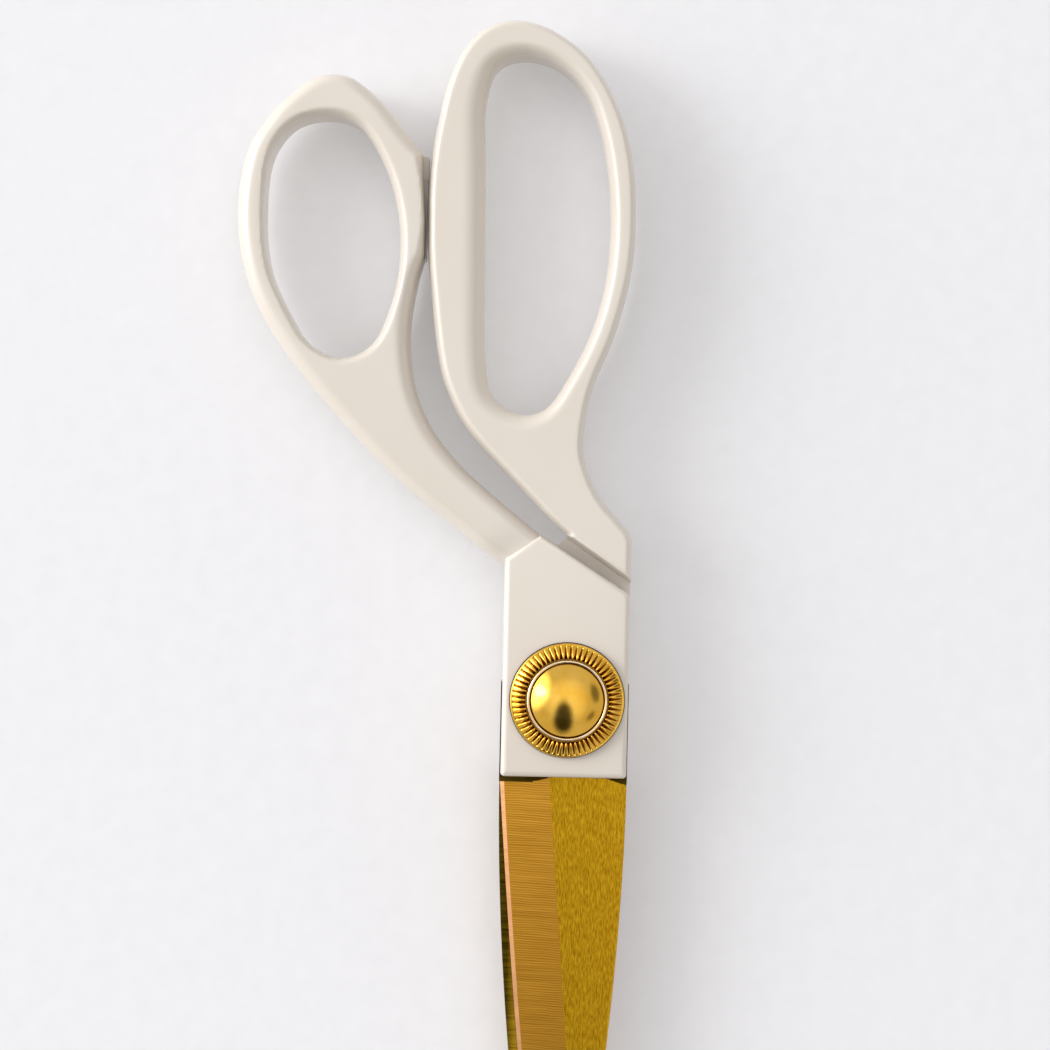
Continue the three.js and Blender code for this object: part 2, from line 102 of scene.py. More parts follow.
POCKET_DEPTH = 2.72
POCKET_CLEARANCE = 0.12
ROOT_Z = 1.3  # half way through the blade's root
ROOT_TOP_Z = 2.6
EDGE_TOP_Z = 0.8  # a blade's faces that stay below this are along its cutting edge
HEEL_Y = -15.5  # the blade below this isn't under the block
ROOT_END_Y = -16.0
PEGS_ABOVE_Y = 5.0  # the tang's two holes are above this, and the pivot's is below it

STOP_LUG = {
    "inner": -29.2,  # x of its inner side, buried in the loop
    "low": (77.9, 92.0, -26.84),  # its lower level runs between these two y, out to this x
    "high": (92.0, 96.2, -26.76),
    "below": -3.4,
    "above": 1.6,
    "step": 0.15,
}

DOME_SEGMENTS = 192
DOME_STEPS = 40
DOME_RADIUS = 6.35
BOLT = {
    "thread": 3.0,
    "thread_chamfer": 0.25,
    "shoulder": 4.0,
    "shoulder_z": 3.25,
    "flat": 3.2,  # half the width of the shank across its two flats
    "bead_below_top": 2.3,
    "flange_below_top": 3.25,
    "bead": 0.28,
    "bead_height": 0.25,
    "bead_steps": 12,
    "groove_deep": 0.6,
    "dome_edge_up": 0.1,
}

FLUTES = 60
SEGMENTS_PER_FLUTE = 16
RECESS = 7.4  # radius of the hole in the fluted collar that the bolt's flange sits in
FLUTED_WIDTH = 2.7  # from the collar's rim in to the recess
COLLAR = {
    "bore": 4.05,
    "floor": 0.68,
    "foot": 0.25,  # how far in from the rim its underside ends
    "rim_radius": 0.28,
    "rim_height": 0.42,
    "rim_steps": 10,
    "crown_start": (0.32, 0.83),  # in from the rim, and up from the bottom
    "crown_end": 0.32,  # out from the recess
    "crown_power": 1.15,
    "crown_steps": 22,
    "lip": 0.22,
    "lip_steps": 6,
}
FLUTE = {
    "run_in": 0.06,  # the share of the fluted width over which a flute begins, at the rim
    "depth": 0.2,
    "deepens": 0.5,  # by this much, from the rim in to the recess
    "deepening_power": 1.5,
    "narrowness": 4.5,
    "widens": 3.2,
}


# ---------- meshes ----------
def object_from(name, vertices, faces):
    mesh = bpy.data.meshes.new(name)
    mesh.from_pydata([tuple(v) for v in vertices], [], faces)
    mesh.validate()
    made = bpy.data.objects.new(name, mesh)
    bpy.context.scene.collection.objects.link(made)
    return made


def apply_modifiers(obj):
    depsgraph = bpy.context.evaluated_depsgraph_get()
    mesh = bpy.data.meshes.new_from_object(obj.evaluated_get(depsgraph))
    obj.modifiers.clear()
    obj.data = mesh


def combine(obj, tool, operation):
    """Boolean of two closed meshes. The tool is used up."""
    modifier = obj.modifiers.new("combine", "BOOLEAN")
    modifier.solver = "MANIFOLD"
    modifier.operation = operation
    modifier.object = tool
    apply_modifiers(obj)
    bpy.data.objects.remove(tool)


def vertices_of(mesh):
    flat = np.empty(len(mesh.vertices) * 3)
    mesh.vertices.foreach_get("co", flat)
    return flat.reshape(-1, 3)


def stacked(name, rings, heights):
    """A closed solid skinned over anticlockwise rings of as many points each, one above the other."""
    count = len(rings[0])
    vertices = [(*p, z) for ring, z in zip(rings, heights) for p in ring]
    faces = [list(range(count))[::-1]]
    for level in range(len(rings) - 1):
        for i in range(count):
            a = level * count + i
            b = level * count + (i + 1) % count
            faces.append([a, b, b + count, a + count])
    faces.append([(len(rings) - 1) * count + i for i in range(count)])
    return object_from(name, vertices, faces)


def prism(outline, z0, z1):
    return stacked("prism", [outline, outline], [z0, z1])


def box_ring(x0, x1, y0, y1):
    return np.array([(x0, y0), (x1, y0), (x1, y1), (x0, y1)])


# ---------- outlines ----------
def signed_area(ring):
    x, y = ring[:, 0], ring[:, 1]
    return 0.5 * float(np.sum(x * np.roll(y, -1) - np.roll(x, -1) * y))


def turns(ring):
    """How far the ring turns at each point, in radians, anticlockwise positive."""
    before = ring - np.roll(ring, 1, axis=0)
    after = np.roll(ring, -1, axis=0) - ring
    cross = before[:, 0] * after[:, 1] - before[:, 1] * after[:, 0]
    return np.arctan2(cross, np.sum(before * after, axis=1))


def without_spare_points(ring):
    """The ring without its doubled points and those on a straight side."""
    ring = ring[np.linalg.norm(ring - np.roll(ring, 1, axis=0), axis=1) > SHORTEST_SIDE]
    return ring[np.abs(turns(ring)) > STRAIGHT_TURN]


def chained(edges):
    """The closed loops that a set of edges makes, each as an array of points seen from above."""
    links = {}
    for edge in edges:
        a, b = edge.verts
        links.setdefault(a, []).append(b)
        links.setdefault(b, []).append(a)
    loops = []
    while links:
        here = next(iter(links))
        loop = []
        while here in links:
            loop.append(here.co.xy[:])
            onward = [v for v in links.pop(here) if v in links]
            here = onward[0] if onward else None
        loops.append(np.array(loop))
    return loops


def sections(node, to_half, z):
    """A CAD node's outlines at a height of its half's frame, anticlockwise and largest first."""
    cut_mesh = bmesh.new()
    cut_mesh.from_mesh(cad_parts[node].data)
    cut_mesh.transform(to_half)
    bmesh.ops.remove_doubles(cut_mesh, verts=cut_mesh.verts, dist=WELD)
    everything = cut_mesh.verts[:] + cut_mesh.edges[:] + cut_mesh.faces[:]
    cut = bmesh.ops.bisect_plane(cut_mesh, geom=everything, plane_co=(0, 0, z), plane_no=(0, 0, 1))
    loops = chained([e for e in cut["geom_cut"] if isinstance(e, bmesh.types.BMEdge)])
    cut_mesh.free()
    rings = [without_spare_points(loop) for loop in loops if len(loop) > 2]
    rings = [ring if signed_area(ring) > 0 else ring[::-1] for ring in rings]
    return sorted(rings, key=signed_area, reverse=True)


def offset(ring, distance):
    """An anticlockwise ring with every side moved outwards by the distance."""
    side = np.roll(ring, -1, axis=0) - ring
    side /= np.linalg.norm(side, axis=1)[:, None]
    outward = np.column_stack([side[:, 1], -side[:, 0]])
    before = np.roll(outward, 1, axis=0)
    middle = before + outward
    return ring + distance * middle * (2 / np.sum(middle * middle, axis=1))[:, None]


def rounded_corner(ring, index, radius):
    """The ring with one of its corners turned into an arc."""
    corner = Vector(ring[index])
    before = (Vector(ring[index - 1]) - corner).normalized()
    after = (Vector(ring[(index + 1) % len(ring)]) - corner).normalized()
    half_angle = before.angle(after) / 2
    centre = corner + (before + after).normalized() * (radius / math.sin(half_angle))
    start = corner + before * (radius / math.tan(half_angle)) - centre
    sweep = math.pi - 2 * half_angle
    arc = []
    for i in range(CORNER_STEPS + 1):
        angle = sweep * i / CORNER_STEPS
        turned = Vector((start.x * math.cos(angle) - start.y * math.sin(angle),
                         start.x * math.sin(angle) + start.y * math.cos(angle)))
        arc.append((centre + turned)[:])
    return np.vstack([ring[:index], arc, ring[index + 1:]])


def smooth(ring, spacing):
    """The ring as an evenly stepped curve through its points, with its sharp corners kept."""
    ahead = np.roll(ring, -1, axis=0) - ring
    length = np.linalg.norm(ahead, axis=1)
    direction = ahead / length[:, None]
    length_before = np.roll(length, 1)
    direction_before = np.roll(direction, 1, axis=0)
    blended = direction_before * length[:, None] + direction * length_before[:, None]
    blended /= np.linalg.norm(blended, axis=1)[:, None]
    straight = (length > STRAIGHT_LENGTH)[:, None]
    straight_before = np.roll(straight, 1, axis=0)
    sharp = (np.abs(turns(ring)) > SHARP_TURN)[:, None]
    blended = np.where(straight_before & ~sharp, direction_before, blended)
    blended = np.where(straight & ~sharp, direction, blended)
    leaving = np.where(sharp | straight, direction, blended)
    arriving = np.roll(np.where(sharp | straight_before, direction_before, blended), -1, axis=0)
    end = np.roll(ring, -1, axis=0)
    points = []
    for i in range(len(ring)):
        steps = max(1, round(length[i] / spacing))
        t = (np.arange(steps) / steps)[:, None]
        points.append(
            (2 * t**3 - 3 * t**2 + 1) * ring[i]
            + (t**3 - 2 * t**2 + t) * length[i] * leaving[i]
            + (3 * t**2 - 2 * t**3) * end[i]
            + (t**3 - t**2) * length[i] * arriving[i]
        )
    return np.vstack(points)


def clipped(ring, y):
    """What lies above a level, as an open row from one crossing to the other."""
    keep = ring[:, 1] > y
    start = int(np.argmax(keep & ~np.roll(keep, 1)))
    turned = np.roll(ring, -start, axis=0)
    return turned[: int(np.argmin(np.roll(keep, -start)))]


# ---------- loops and shanks ----------
class Rim:
    """An outline with the material on its left, and how far in its rounding reaches at each point."""

    def __init__(self, points, reach):
        self.points = points
        window = np.hanning(2 * REACH_BLEND + 1)
        window /= window.sum()
        padded = np.concatenate([reach[-REACH_BLEND:], reach, reach[:REACH_BLEND]])
        self.reach = np.convolve(padded, window, mode="valid")
        self.tree = KDTree(len(points))
        for i, (x, y) in enumerate(points):
            self.tree.insert((x, y, 0), i)
        self.tree.balance()

    def look(self, places):
        """Distance into the material, the direction it grows in, and the nearest rounding's reach."""
        nearest = np.array([self.tree.find((x, y, 0))[1] for x, y in places])
        best = np.full(len(places), np.inf)
        away = np.zeros((len(places), 2))
        left = np.zeros((len(places), 2))
        reach = np.zeros(len(places))
        count = len(self.points)
        for first in (nearest - 1, nearest):
            a = self.points[first % count]
            side = self.points[(first + 1) % count] - a
            t = np.clip(np.sum((places - a) * side, axis=1) / np.sum(side * side, axis=1), 0, 1)
            gap = places - (a + t[:, None] * side)
            distance = np.linalg.norm(gap, axis=1)
            nearer = distance < best
            best = np.where(nearer, distance, best)
            away = np.where(nearer[:, None], gap, away)
            normal = np.column_stack([-side[:, 1], side[:, 0]])
            left = np.where(nearer[:, None], normal, left)
            here = (1 - t) * self.reach[first % count] + t * self.reach[(first + 1) % count]
            reach = np.where(nearer, here, reach)
        left /= np.linalg.norm(left, axis=1)[:, None]
        inside = np.sign(np.sum(away * left, axis=1))
        inwards = away / np.maximum(best, TINY)[:, None] * inside[:, None]
        direction = np.where(best[:, None] > ON_RIM, inwards, left)
        return best * inside, direction, reach


def rounding(places, rims, neck):
    """How far outside the rounded body each place is, and the slope of that: below zero is inside."""
    total = np.zeros(len(places))
    slope = np.zeros((len(places), 3))
    for rim in rims:
        distance, direction, reach = rim.look(places[:, :2])
        share = np.maximum(0, 1 - distance / reach)
        total += share**2
        slope[:, :2] -= (share / reach)[:, None] * direction
    height = places[:, 2] - LOOP_MIDDLE
    top = LOOP_HALF_DEPTH - np.where(height > 0, neck(places), 0)
    rise = np.maximum(0, (np.abs(height) - top + LOOP_ROUND_DEEP) / LOOP_ROUND_DEEP)
    total += rise**2
    slope[:, 2] += rise / LOOP_ROUND_DEEP * np.sign(height)
    reached = np.sqrt(np.maximum(total, TINY))
    return reached - 1, slope / reached[:, None]


def settled(places, rims, neck):
    """The places moved on to the rounded surface, by Newton's method."""
    for _ in range(SETTLING_STEPS):
        outside, slope = rounding(places, rims, neck)
        step = outside / np.maximum(np.sum(slope * slope, axis=1), FLATTEST_SLOPE)
        places = places - step[:, None] * slope
    return places


def evened(mesh, places, rims, neck):
    """Spreads the points over the surface, so that no face is left stretched."""
    ends = np.empty(len(mesh.edges) * 2, dtype=np.int64)
    mesh.edges.foreach_get("vertices", ends)
    a, b = ends.reshape(-1, 2).T
    count = np.bincount(ends, minlength=len(places))[:, None]
    for _ in range(EVENING_STEPS):
        total = np.zeros_like(places)
        np.add.at(total, a, places[b])
        np.add.at(total, b, places[a])
        pull = total / count - places
        _, slope = rounding(places, rims, neck)
        normal = slope / np.maximum(np.linalg.norm(slope, axis=1), TINY)[:, None]
        places = places + EVENING_PULL * (pull - np.sum(pull * normal, axis=1)[:, None] * normal)
        places = settled(places, rims, neck)
    return places


def loop_and_shank(outer, hole, neck):
    """Full-depth loop and shank, with each edge rounded by an ellipse as wide as its rim says."""
    bottom, top = LOOP_MIDDLE - LOOP_HALF_DEPTH, LOOP_MIDDLE + LOOP_HALF_DEPTH
    body = prism(outer.points, bottom, top)
    combine(body, prism(hole.points[::-1], bottom - MARGIN, top + MARGIN), "DIFFERENCE")
    remesh = body.modifiers.new("even", "REMESH")
    remesh.mode = "VOXEL"
    remesh.voxel_size = VOXEL
    apply_modifiers(body)
    rims = [outer, hole]
    places = settled(vertices_of(body.data), rims, neck)
    places = evened(body.data, places, rims, neck)
    body.data.vertices.foreach_set("co", places.ravel())
    body.data.update()
    return body


# ---------- blocks ----------
def block_outline(node, to_half, thickness):
    """The block's plan, found from its flat outer face, which its bevel has drawn in."""
    just_under = 0.01
    top = sections(node, to_half, thickness - just_under)[0]
    drawn_in = BLOCK_BEVEL * (1 - math.cos(math.asin(1 - just_under / BLOCK_BEVEL)))
    return offset(top, drawn_in)


def heel_rounded(outline, inset):
    """The outline drawn in by an inset, with its two heel corners rounded."""
    ring = offset(outline, -inset)
    for index in sorted(np.argsort(ring[:, 1])[:2], reverse=True):
        ring = rounded_corner(ring, index, max(HEEL_ROUND - inset, SMALLEST_ROUND))
    return ring


def block_body(outline, thickness):
    """The flat block, with a quarter-round bevel along its outer edge."""
    rings, heights = [heel_rounded(outline, 0.0)], [0.0]
    for i in range(BEVEL_STEPS + 1):
        angle = i / BEVEL_STEPS * math.pi / 2
        rings.append(heel_rounded(outline, BLOCK_BEVEL * (1 - math.cos(angle))))
        heights.append(thickness - BLOCK_BEVEL * (1 - math.sin(angle)))
    return stacked("block", rings, heights)


def near_block(outline):
    """How far the shank's outer face sinks, close to the block."""
    ring = smooth(outline, RING_SPACING)
    sides = Rim(ring, np.ones(len(ring)))

    def neck(places):
        inside, _, _ = sides.look(places[:, :2])
        beyond = np.maximum(0, -inside)
        return NECK_DIP * np.exp(-((beyond / NECK_REACH) ** 2))

    return neck


# ---------- handles ----------
def step_cutter(node, to_half):
    """What leaves the step: the shank's inner half as far as the step wall, whose far edge it rounds."""
    wall_ring = sections(node, to_half, WALL_Z)[0]
    ends = np.roll(wall_ring, -1, axis=0)
    nearest = int(np.argmin(np.linalg.norm((wall_ring + ends) / 2, axis=1)))
    along = ends[nearest] - wall_ring[nearest]
    along /= np.linalg.norm(along)
    normal = np.array([-along[1], along[0]])
    radius = float(wall_ring[nearest] @ normal)
    if radius < 0:
        normal, radius = -normal, -radius
    bottom = LOOP_MIDDLE - LOOP_HALF_DEPTH
    edge = radius + STEP_LEAN
    profile = [(-FAR, 0.0), (-FAR, bottom - MARGIN), (edge + STEP_ROUND_ACROSS, bottom - MARGIN)]
    for i in range(STEP_ROUND_STEPS + 1):
        angle = i / STEP_ROUND_STEPS * math.pi / 2
        profile.append((
            edge + STEP_ROUND_ACROSS * (1 - math.sin(angle)),
            bottom + STEP_ROUND_DEEP * (1 - math.cos(angle)),
        ))
    profile.append((radius, 0.0))
    cutter = prism(np.array(profile), -FAR, FAR)
    across = Vector((*normal, 0))
    up = Vector((0, 0, 1))
    turn = Matrix((across, up, across.cross(up))).transposed().to_4x4()
    cutter.data.transform(turn)
    return cutter


def pocket_and_pegs(body, blade, to_half):
    """The pocket that holds the blade's root and tang, and the two pegs that fill the tang's holes."""
    outline, *holes = sections(blade, to_half, ROOT_Z)
    root = without_spare_points(outline[outline[:, 1] > HEEL_Y - MARGIN])
    combine(body, prism(offset(root, POCKET_CLEARANCE), -MARGIN, POCKET_DEPTH), "DIFFERENCE")
    for hole in holes:
        if hole[:, 1].mean() > PEGS_ABOVE_Y:
            combine(body, prism(offset(hole, -POCKET_CLEARANCE), 0, POCKET_DEPTH + MARGIN / 2), "UNION")


def stop_lug(body):
    """The lug, in two levels, that meets the finger loop when the shears are closed."""
    low_from, low_to, low_x = STOP_LUG["low"]
    high_from, high_to, high_x = STOP_LUG["high"]
    below, above = STOP_LUG["below"], STOP_LUG["above"]
    low = box_ring(STOP_LUG["inner"], low_x, low_from, low_to)
    high = box_ring(STOP_LUG["inner"], high_x, high_from, high_to)
    combine(body, prism(low, below, above - STOP_LUG["step"]), "UNION")
    combine(body, prism(high, below, above), "UNION")


def handle(node, blade, half, outer_reach, hole_reach):
    """One handle. The reaches give a rounding its width, from its place and outward direction."""
    to_half = half.inverted()
    low, high = (to_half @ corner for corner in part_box(node))
    thickness = max(low.z, high.z)
    outline, hole, *bores = sections(node, to_half, SECTION_Z)
    block = offset(block_outline(node, to_half, thickness), BLOCK_PROUD)
    neck = near_block(block)

    outer_points = clipped(smooth(outline, RING_SPACING), TANG_CLEAR_Y)
    outer = Rim(outer_points, reaches(outer_points, outer_reach))
    hole_points = smooth(hole, RING_SPACING)[::-1]
    inner = Rim(hole_points, reaches(hole_points, hole_reach))

    body = loop_and_shank(outer, inner, neck)
    combine(body, step_cutter(node, to_half), "DIFFERENCE")
    combine(body, block_body(block, thickness), "UNION")
    pocket_and_pegs(body, blade, to_half)
    for bore in bores:
        combine(body, prism(bore, -FAR, FAR), "DIFFERENCE")
    return body


def reaches(points, reach):
    """The rounding's width at each point of a rim whose material is on its left."""
    ahead = np.roll(points, -1, axis=0) - np.roll(points, 1, axis=0)
    ahead /= np.linalg.norm(ahead, axis=1)[:, None]
    outward = np.column_stack([ahead[:, 1], -ahead[:, 0]])
    return reach(points, outward)


def place(obj, matrix, name, body, node, angle=35):
    """Moves a finished piece to its place, puts it under its body and hides the CAD node it stands in
    for.
    """
    obj.data.transform(matrix)
    if matrix.determinant() < 0:
        obj.data.flip_normals()
    obj.name = name
    obj.data.name = name
    obj.data.shade_smooth()
    obj.data.set_sharp_from_angle(angle=math.radians(angle))
    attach(obj, body)
    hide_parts(node)
    return obj


def half_frame(blade, turned_over):
    """From a half's own frame, in millimetres, to the row frame."""
    low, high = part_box(blade)
    if turned_over:
        middle = Vector((low.x + high.x, 0, high.z))
        return Matrix.Translation(middle) @ Matrix.Rotation(math.pi, 4, "Y") @ Matrix.Scale(MM, 4)
    return Matrix.Translation((0, 0, low.z)) @ Matrix.Scale(MM, 4)


thumb_frame = half_frame("thumb_blade", False)
finger_frame = half_frame("finger_blade", True)


def thumb_outer_reach(points, outward):
    """Wide, but narrow along the straight land that faces the other handle."""
    reach = THUMB_OUTER_REACH
    land = (outward[:, 0] > LAND_FACES) & (points[:, 1] > STOP_LUG["low"][0])
    return np.where(land, reach["land"], reach["all"] + reach["sideways"] * np.abs(outward[:, 0]))


def thumb_hole_reach(points, outward):
    """Narrow where the hole's wall faces right, and wider where it faces left."""
    reach = THUMB_HOLE_REACH
    return reach["all"] + reach["right"] * outward[:, 0] + reach["up"] * outward[:, 1]


def finger_outer_reach(points, outward):
    """In this half's frame the front view's left is on the right."""
    reach = FINGER_OUTER_REACH
    return reach["all"] + reach["right"] * outward[:, 0]


def finger_hole_reach(points, outward):
    """Wide along the hole's straight side, narrower over the top and round the thin limb."""
    reach = FINGER_HOLE_REACH
    return reach["all"] + reach["right"] * outward[:, 0] + reach["down"] * np.minimum(outward[:, 1], 0)


thumb_body = handle("thumb_handle", "thumb_blade", thumb_frame, thumb_outer_reach, thumb_hole_reach)
stop_lug(thumb_body)
thumb_shell = place(
    thumb_body, thumb_frame, "thumb_handle_enamel", "thumb_half", "thumb_handle"
)

finger_body = handle(
    "finger_handle", "finger_blade", finger_frame, finger_outer_reach, finger_hole_reach
)
counterbore = sections("finger_handle", finger_frame.inverted(), COUNTERBORE_Z)[1]
combine(finger_body, prism(counterbore, COUNTERBORE_FLOOR_Z, FAR), "DIFFERENCE")
finger_shell = place(
    finger_body, finger_frame, "finger_handle_enamel", "finger_half", "finger_handle"
)


# ---------- pivot ----------
def revolved(name, profile, segments, lift=None):
    """A turned solid from its half section of (radius, z) points.

    The lift says how far up a point moves, from its radius, z and angle.
    """
    vertices = []
    for r, z in profile:
        for i in range(segments):
            angle = 2 * math.pi * i / segments
            up = lift(r, z, angle) if lift else 0
            vertices.append((r * math.cos(angle), r * math.sin(angle), z + up))
    faces = []
    rows = len(profile)
    for row in range(rows):
        below = (row + 1) % rows
        for i in range(segments):
            j = (i + 1) % segments
            faces.append([r * segments + k for r, k in ((row, i), (below, i), (below, j), (row, j))])
    made = object_from(name, vertices, faces)
    cleaned = bmesh.new()
    cleaned.from_mesh(made.data)
    bmesh.ops.remove_doubles(cleaned, verts=cleaned.verts, dist=AXIS_WELD)
    bmesh.ops.recalc_face_normals(cleaned, faces=cleaned.faces)
    cleaned.to_mesh(made.data)
    cleaned.free()
    return made


def arc(centre_r, centre_z, radius_r, radius_z, start, end, steps):
    """Points on an ellipse's arc in a half section, between two angles in degrees."""
    points = []
    for i in range(steps + 1):
        angle = math.radians(start + (end - start) * i / steps)
        points.append((centre_r + radius_r * math.cos(angle), centre_z + radius_z * math.sin(angle)))
    return points


def pivot_bolt():
    """The threaded shank with its two flats, the beaded flange and the dome, a cap of a sphere."""
    _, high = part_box("pivot_bolt")
    top, flange = high.z / MM, high.x / MM
    thread, chamfer = BOLT["thread"], BOLT["thread_chamfer"]
    shoulder, shoulder_z = BOLT["shoulder"], BOLT["shoulder_z"]
    bead, bead_height = BOLT["bead"], BOLT["bead_height"]
    rim, under = top - BOLT["bead_below_top"], top - BOLT["flange_below_top"]
    edge_break, groove_slope = 0.1, 0.08
    profile = [
        (0, 0), (thread - chamfer, 0), (thread, chamfer), (thread, shoulder_z), (shoulder, shoulder_z),
        (shoulder, under), (flange - edge_break, under), (flange, under + edge_break),
    ]
    profile += arc(flange - bead, rim - bead_height, bead, bead_height, 0, 180, BOLT["bead_steps"])
    groove_z = rim - BOLT["groove_deep"]
    profile += [(DOME_RADIUS + groove_slope, groove_z), (DOME_RADIUS, groove_z)]
    rise = top - rim + BOLT["dome_edge_up"]
    sphere = (DOME_RADIUS**2 + rise**2) / (2 * rise)
    edge_angle = math.degrees(math.acos(DOME_RADIUS / sphere))
    profile += arc(0, top - sphere, sphere, sphere, edge_angle, 90, DOME_STEPS)
    profile[-1] = (0, top)
    body = revolved("bolt", profile, DOME_SEGMENTS)
    key_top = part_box("finger_blade")[1].z / MM
    for y0, y1 in ((-FAR, -BOLT["flat"]), (BOLT["flat"], FAR)):
        combine(body, prism(box_ring(-FAR, FAR, y0, y1), shoulder_z - MARGIN / 2, key_top), "DIFFERENCE")
    return body


def flute_wave(angle):
    """One in the middle of each flute, and nothing on the ribs."""
    return 0.5 - 0.5 * math.cos(FLUTES * angle)


def fluted_washer():
    """The collar: a ring that rises towards the bolt, with flutes that deepen and widen inwards."""
    low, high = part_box("fluted_washer")
    bottom, top, rim = low.z / MM, high.z / MM, high.x / MM
    bore, floor, lip = COLLAR["bore"], bottom + COLLAR["floor"], COLLAR["lip"]
    rim_radius, rim_height = COLLAR["rim_radius"], COLLAR["rim_height"]
    profile = [(bore, bottom), (rim - COLLAR["foot"], bottom)]
    rim_centre = (rim - rim_radius, bottom + rim_height)
    profile += arc(*rim_centre, rim_radius, rim_height, -80, 100, COLLAR["rim_steps"])
    outer_r, outer_z = rim - COLLAR["crown_start"][0], bottom + COLLAR["crown_start"][1]
    inner_r = RECESS + COLLAR["crown_end"]
    for i in range(COLLAR["crown_steps"] + 1):
        share = i / COLLAR["crown_steps"]
        rise = math.sin(share * math.pi / 2) ** COLLAR["crown_power"]
        profile.append((outer_r + (inner_r - outer_r) * share, outer_z + (top - outer_z) * rise))
    profile += arc(RECESS + lip, top - lip, lip, lip, 80, 180, COLLAR["lip_steps"])
    profile += [(RECESS, floor), (bore, floor)]

    def flute(r, z, angle):
        on_crown = z >= outer_z - 0.05 and r >= RECESS + 0.02
        if not on_crown:
            return 0
        share = min(1, max(0, (outer_r - r) / (outer_r - RECESS)))
        run_in = min(1, share / FLUTE["run_in"])
        depth = FLUTE["depth"] + FLUTE["deepens"] * share ** FLUTE["deepening_power"]
        narrowness = FLUTE["narrowness"] - FLUTE["widens"] * share
        return -depth * run_in * flute_wave(angle) ** narrowness

    return revolved("washer", profile, FLUTES * SEGMENTS_PER_FLUTE, flute)


in_metres = Matrix.Scale(MM, 4)
bolt = place(pivot_bolt(), in_metres, "bolt_dome", "finger_half", "pivot_bolt", 30)
collar = place(
    fluted_washer(), in_metres, "fluted_collar", "finger_half", "fluted_washer", 50
)


# ---------- materials ----------
NOISE_MIDDLE = (0.3, 0.7)  # most of a noise texture's values lie between these
SHADED_FROM, UNSHADED_FROM = 0.0096, 0.0078  # metres either side of the pivot, across an inner face; painted shade beyond the first
FLAT, FACET, EDGE, INNER, ROOT = range(5)  # a blade's material slots
GOLD, DARK, PALE = range(3)  # and the pivot's


class Finish:
    """A principled material, with helpers to wire up its procedural detail in object space."""

    def __init__(self, name, colour, metallic, roughness):
        self.material = bpy.data.materials.new(name)
        self.material.use_nodes = True
        self.nodes = self.material.node_tree.nodes
        self.links = self.material.node_tree.links
        self.shader = self.nodes["Principled BSDF"]
        self.shader.inputs["Base Color"].default_value = (*colour, 1)
        self.shader.inputs["Metallic"].default_value = metallic
        self.shader.inputs["Roughness"].default_value = roughness
        self.place = self.add("ShaderNodeTexCoord").outputs["Object"]

    def add(self, kind, **inputs):
        made = self.nodes.new(kind)
        for name, value in inputs.items():
            socket = made.inputs[name.replace("_", " ")]
            if isinstance(value, bpy.types.NodeSocket):
                self.links.new(value, socket)
            else:
                socket.default_value = value
        return made

    def noise(self, features, detail, turn=0.0):
        """Noise with this many features to the metre: one number, or one each for x, y and z."""
        if not isinstance(features, tuple):
            features = (features, features, features)
        mapping = self.add("ShaderNodeMapping", Vector=self.place, Scale=features, Rotation=(0, 0, turn))
        texture = self.add("ShaderNodeTexNoise", Vector=mapping.outputs[0], Scale=1.0, Detail=detail)
        return texture.outputs["Fac"]

    def between(self, share, low, high):
        """The share, stretched to run from low to high over the middle of its range."""
        start, end = NOISE_MIDDLE
        ranged = self.add(
            "ShaderNodeMapRange", Value=share, From_Min=start, From_Max=end, To_Min=low, To_Max=high
        )
        return ranged.outputs[0]

    def tint(self, share, dark, light):
        mixed = self.add("ShaderNodeMix")
        mixed.data_type = "RGBA"
        mixed.inputs[6].default_value = (*dark, 1)
        mixed.inputs[7].default_value = (*light, 1)
        self.links.new(share, mixed.inputs[0])
        self.links.new(mixed.outputs[2], self.shader.inputs["Base Color"])

    def rough(self, share, low, high):
        self.links.new(self.between(share, low, high), self.shader.inputs["Roughness"])

    def bump(self, heights, depth):
        """Raises the surface by the heights, which are added up, over a depth in metres."""
        total = heights[0]
        for other in heights[1:]:
            total = self.summed(total, other)
        made = self.add("ShaderNodeBump", Height=total, Distance=depth, Strength=1.0)
        self.links.new(made.outputs[0], self.shader.inputs["Normal"])

    def ripples(self, spacing, waver):
        """Even bands across y, this far apart in metres."""
        made = self.add(
            "ShaderNodeTexWave",
            Vector=self.place,
            Scale=math.pi / 10 / spacing,
            Distortion=waver,
            Detail=1.0,
            Detail_Scale=0.4,
        )
        made.bands_direction = "Y"
        return made.outputs["Fac"]

    def mixed(self, a, b, share):
        made = self.add("ShaderNodeMix", Factor=share)
        self.links.new(a, made.inputs[2])
        self.links.new(b, made.inputs[3])
        return made.outputs[0]

    def summed(self, a, b):
        made = self.nodes.new("ShaderNodeMath")
        made.operation = "ADD"
        self.links.new(a, made.inputs[0])
        self.links.new(b, made.inputs[1])
        return made.outputs[0]


def cream_enamel():
    finish = Finish("cream_enamel", (0.69, 0.627, 0.545), 0.0, 0.34)
    clouds = finish.noise(45, 3)
    finish.tint(finish.between(clouds, 0, 1), (0.683, 0.617, 0.533), (0.697, 0.637, 0.557))
    finish.rough(finish.noise(60, 2), 0.3, 0.34)
    finish.bump([finish.noise(2400, 1)], 0.0000015)
    finish.shader.inputs["Coat Weight"].default_value = 0.5
    finish.shader.inputs["Coat Roughness"].default_value = 0.14
    return finish.material


def brushed_gold(name, dark, light, features, roughness, depth, turn=0.0):
    """Gold-coated steel, whose grain runs along the direction with the fewest features to the metre."""
    finish = Finish(name, light, 1.0, roughness)
    grain = finish.noise(features, 4, turn)
    fine = finish.noise(tuple(3 * n for n in features), 2, turn)
    finish.tint(finish.between(grain, 0, 1), dark, light)
    finish.rough(fine, roughness - 0.06, roughness + 0.08)
    finish.bump([grain, fine], depth)
    return finish.material


